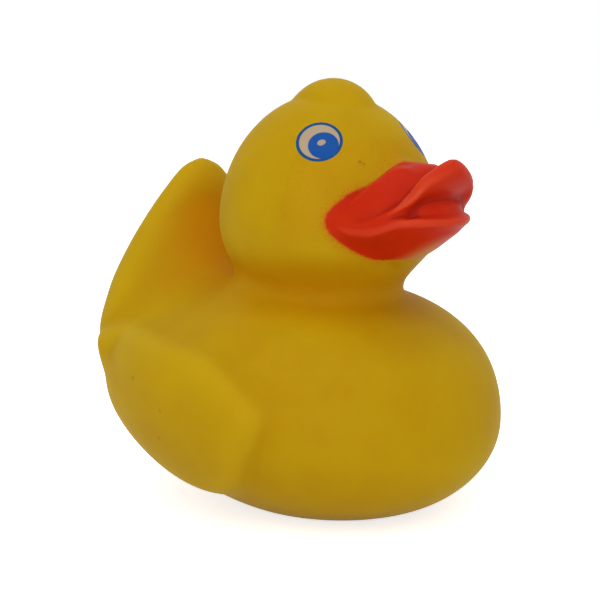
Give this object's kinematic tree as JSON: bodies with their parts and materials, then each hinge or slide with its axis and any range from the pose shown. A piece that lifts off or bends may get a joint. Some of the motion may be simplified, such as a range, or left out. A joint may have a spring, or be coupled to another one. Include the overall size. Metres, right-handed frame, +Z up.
{
  "type": "rubber duck",
  "caption": "Hollow soft vinyl bath duck with an open smiling bill, low wings, an upswept tail and a squeaker in its base.",
  "frame": {"origin": "on the standing surface, under the middle of the duck's outer box", "axes": "+Z up, -Y out of the chest and bill, +X to the duck's left"},
  "size_m": [0.0812, 0.091, 0.0904],
  "materials": {
    "yellow_vinyl": "soft matte vinyl, painted orange-red on the bill and printed blue and white at the eyes",
    "white_plastic": "moulded satin",
    "reed_plastic": "moulded gloss"
  },
  "bodies": {
    "root": {"duck_shell": "yellow_vinyl", "squeaker_body": "white_plastic", "squeaker_reed": "reed_plastic"}
  },
  "joints": []
}
